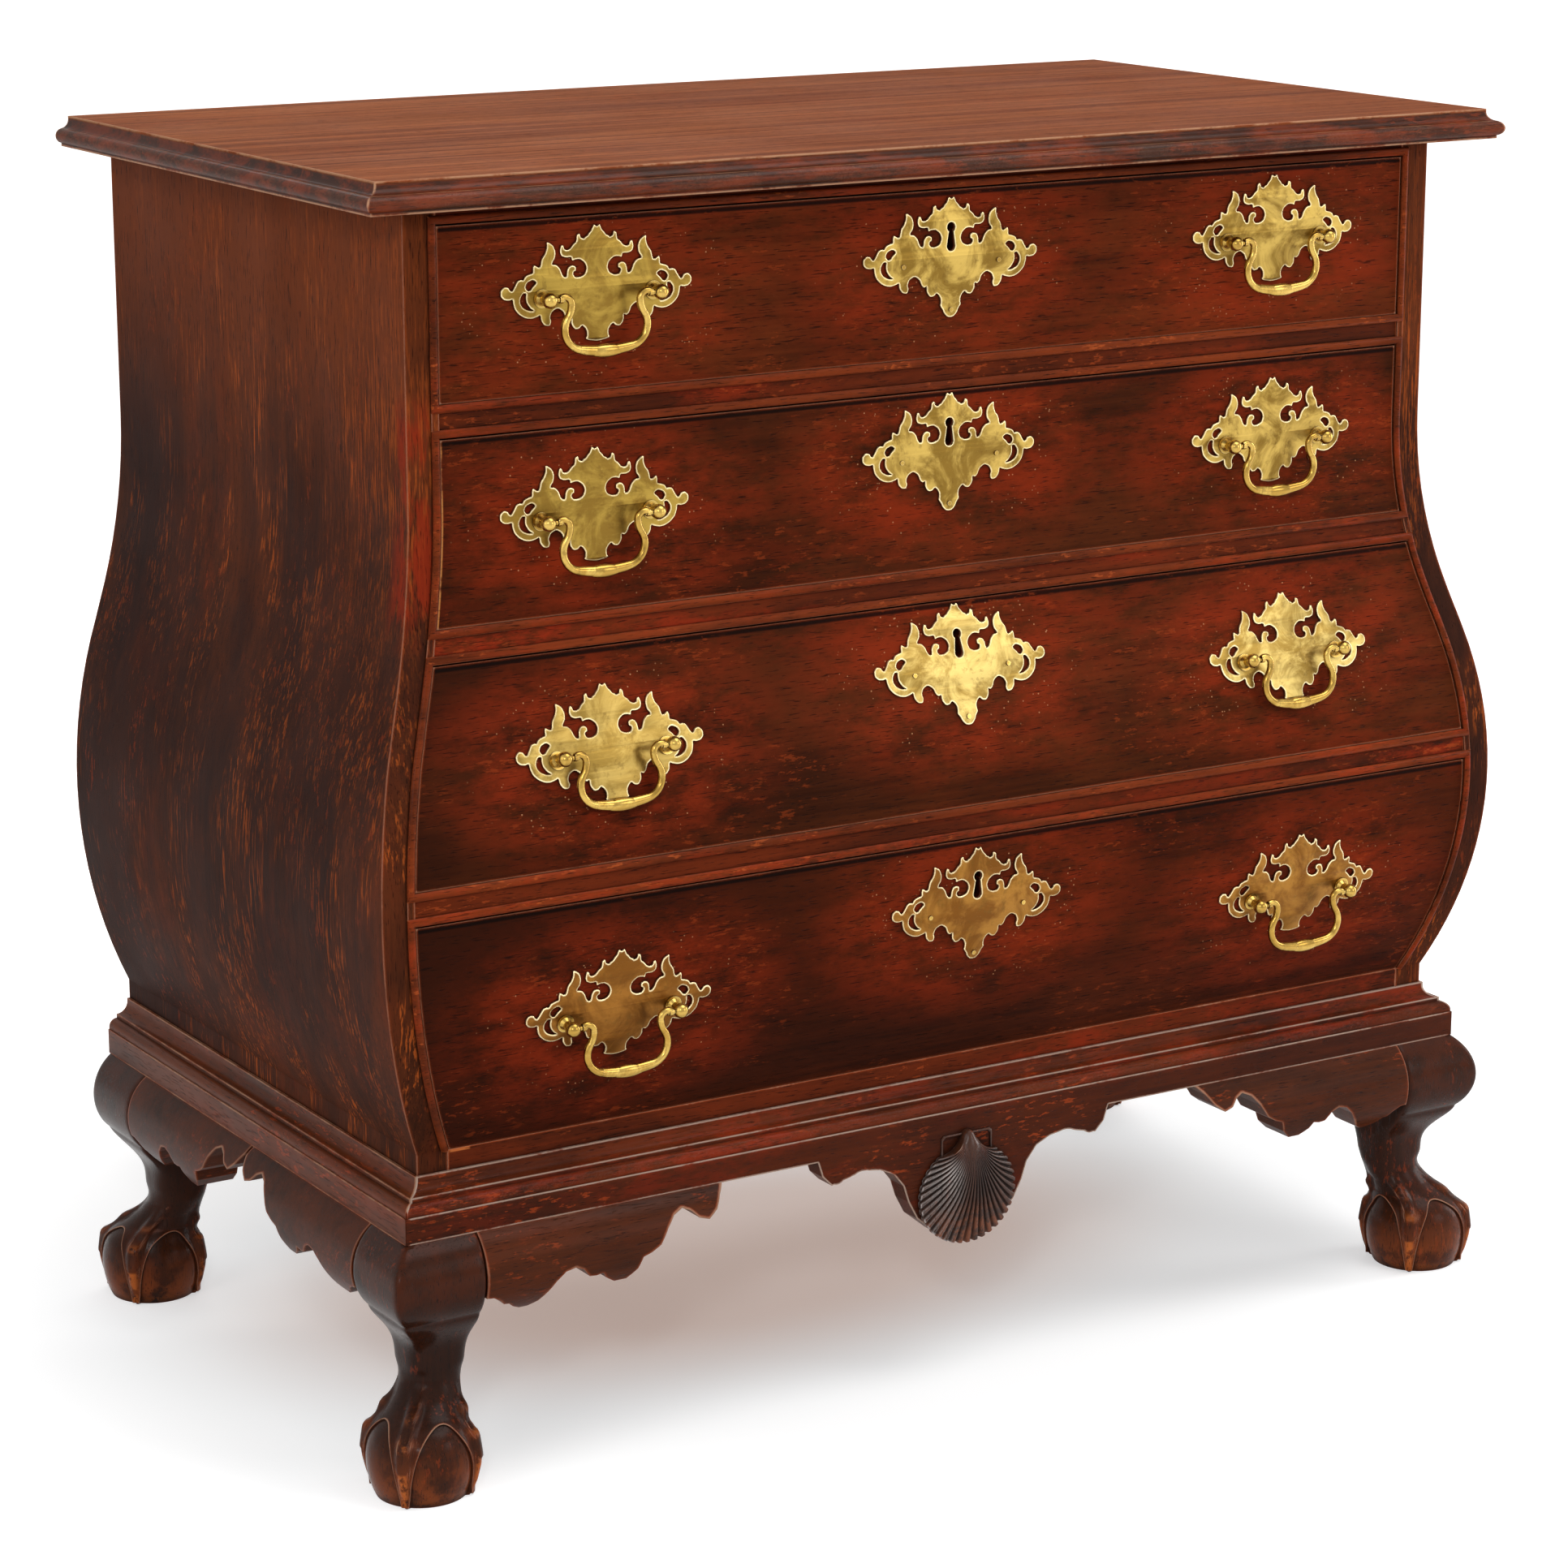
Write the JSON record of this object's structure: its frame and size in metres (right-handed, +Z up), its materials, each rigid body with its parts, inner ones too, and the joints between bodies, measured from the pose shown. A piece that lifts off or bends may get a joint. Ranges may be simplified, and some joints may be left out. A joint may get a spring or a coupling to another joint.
{
  "type": "bombe chest of drawers",
  "caption": "Bombe chest of drawers with swelled sides and front, moulded base, claw-and-ball feet, pierced brass bail handles and keyhole plates.",
  "frame": {"origin": "on the floor under the middle of the bounding box", "axes": "+X to the viewer's right facing the drawers, -Y out of the front, +Z up"},
  "size_m": [0.8848, 0.4958, 0.8368],
  "materials": {
    "mahogany": "polished, aged",
    "drawer_front": "polished, aged",
    "inner_wood": "unfinished",
    "brass": "worn, satin",
    "iron": "dark, satin"
  },
  "bodies": {
    "case": {"top_board": "mahogany", "side_left": "mahogany", "side_right": "mahogany", "case_bottom": "inner_wood", "back_boards": "inner_wood", "top_rail": "mahogany", "bottom_rail": "mahogany", "blades": "mahogany", "runners": "inner_wood", "base_moulding_front": "mahogany", "base_moulding_sides": "mahogany", "foot_front_left": "mahogany", "foot_front_right": "mahogany", "foot_back_left": "mahogany", "foot_back_right": "mahogany", "knee_brackets_front": "mahogany", "knee_brackets_side": "mahogany", "knee_brackets_back": "mahogany", "pendant_shell": "mahogany", "glue_blocks": "inner_wood"},
    "drawer_1": {"drawer_1_front": "drawer_front", "drawer_1_sides": "inner_wood", "drawer_1_back": "inner_wood", "drawer_1_bottom": "inner_wood", "drawer_1_plates": "brass", "drawer_1_posts": "brass", "drawer_1_lock": "iron"},
    "drawer_1_bail_left": {"drawer_1_bail_left": "brass"},
    "drawer_1_bail_right": {"drawer_1_bail_right": "brass"},
    "drawer_1_lock_bolt": {"drawer_1_lock_bolt": "iron"},
    "drawer_2": {"drawer_2_front": "drawer_front", "drawer_2_sides": "inner_wood", "drawer_2_back": "inner_wood", "drawer_2_bottom": "inner_wood", "drawer_2_plates": "brass", "drawer_2_posts": "brass", "drawer_2_lock": "iron"},
    "drawer_2_bail_left": {"drawer_2_bail_left": "brass"},
    "drawer_2_bail_right": {"drawer_2_bail_right": "brass"},
    "drawer_2_lock_bolt": {"drawer_2_lock_bolt": "iron"},
    "drawer_3": {"drawer_3_front": "drawer_front", "drawer_3_sides": "inner_wood", "drawer_3_back": "inner_wood", "drawer_3_bottom": "inner_wood", "drawer_3_plates": "brass", "drawer_3_posts": "brass", "drawer_3_lock": "iron"},
    "drawer_3_bail_left": {"drawer_3_bail_left": "brass"},
    "drawer_3_bail_right": {"drawer_3_bail_right": "brass"},
    "drawer_3_lock_bolt": {"drawer_3_lock_bolt": "iron"},
    "drawer_4": {"drawer_4_front": "drawer_front", "drawer_4_sides": "inner_wood", "drawer_4_back": "inner_wood", "drawer_4_bottom": "inner_wood", "drawer_4_plates": "brass", "drawer_4_posts": "brass", "drawer_4_lock": "iron"},
    "drawer_4_bail_left": {"drawer_4_bail_left": "brass"},
    "drawer_4_bail_right": {"drawer_4_bail_right": "brass"},
    "drawer_4_lock_bolt": {"drawer_4_lock_bolt": "iron"}
  },
  "joints": [
    {"name": "drawer_1_slide", "type": "slide", "parent": "case", "child": "drawer_1", "axis": [0, -1, 0], "range_m": [0, 0.33]},
    {"name": "drawer_1_bail_left_swing", "type": "hinge", "parent": "drawer_1", "child": "drawer_1_bail_left", "pos_m": [-0.262, -0.20847, 0.7558], "axis": [-1, 0, 0], "range_deg": [-10, 185]},
    {"name": "drawer_1_bail_right_swing", "type": "hinge", "parent": "drawer_1", "child": "drawer_1_bail_right", "pos_m": [0.262, -0.20847, 0.7558], "axis": [-1, 0, 0], "range_deg": [-10, 185]},
    {"name": "drawer_1_bolt_rise", "type": "slide", "parent": "drawer_1", "child": "drawer_1_lock_bolt", "axis": [0, 0, 1], "range_m": [0, 0.006]},
    {"name": "drawer_2_slide", "type": "slide", "parent": "case", "child": "drawer_2", "axis": [0, -1, 0], "range_m": [0, 0.33]},
    {"name": "drawer_2_bail_left_swing", "type": "hinge", "parent": "drawer_2", "child": "drawer_2_bail_left", "pos_m": [-0.265, -0.20847, 0.61755], "axis": [-1, 0, 0], "range_deg": [-9, 185]},
    {"name": "drawer_2_bail_right_swing", "type": "hinge", "parent": "drawer_2", "child": "drawer_2_bail_right", "pos_m": [0.265, -0.20847, 0.61755], "axis": [-1, 0, 0], "range_deg": [-9, 185]},
    {"name": "drawer_2_bolt_rise", "type": "slide", "parent": "drawer_2", "child": "drawer_2_lock_bolt", "axis": [0, 0, 1], "range_m": [0, 0.006]},
    {"name": "drawer_3_slide", "type": "slide", "parent": "case", "child": "drawer_3", "axis": [0, -1, 0], "range_m": [0, 0.33]},
    {"name": "drawer_3_bail_left_swing", "type": "hinge", "parent": "drawer_3", "child": "drawer_3_bail_left", "pos_m": [-0.268, -0.23129, 0.47286], "axis": [-1, 0, 0], "range_deg": [0, 190]},
    {"name": "drawer_3_bail_right_swing", "type": "hinge", "parent": "drawer_3", "child": "drawer_3_bail_right", "pos_m": [0.268, -0.23129, 0.47286], "axis": [-1, 0, 0], "range_deg": [0, 190]},
    {"name": "drawer_3_bolt_rise", "type": "slide", "parent": "drawer_3", "child": "drawer_3_lock_bolt", "axis": [0, 0, 1], "range_m": [0, 0.006]},
    {"name": "drawer_4_slide", "type": "slide", "parent": "case", "child": "drawer_4", "axis": [0, -1, 0], "range_m": [0, 0.33]},
    {"name": "drawer_4_bail_left_swing", "type": "hinge", "parent": "drawer_4", "child": "drawer_4_bail_left", "pos_m": [-0.271, -0.24293, 0.30058], "axis": [-1, 0, 0], "range_deg": [-22, 180]},
    {"name": "drawer_4_bail_right_swing", "type": "hinge", "parent": "drawer_4", "child": "drawer_4_bail_right", "pos_m": [0.271, -0.24293, 0.30058], "axis": [-1, 0, 0], "range_deg": [-22, 180]},
    {"name": "drawer_4_bolt_rise", "type": "slide", "parent": "drawer_4", "child": "drawer_4_lock_bolt", "axis": [0, 0, 1], "range_m": [0, 0.006]}
  ]
}
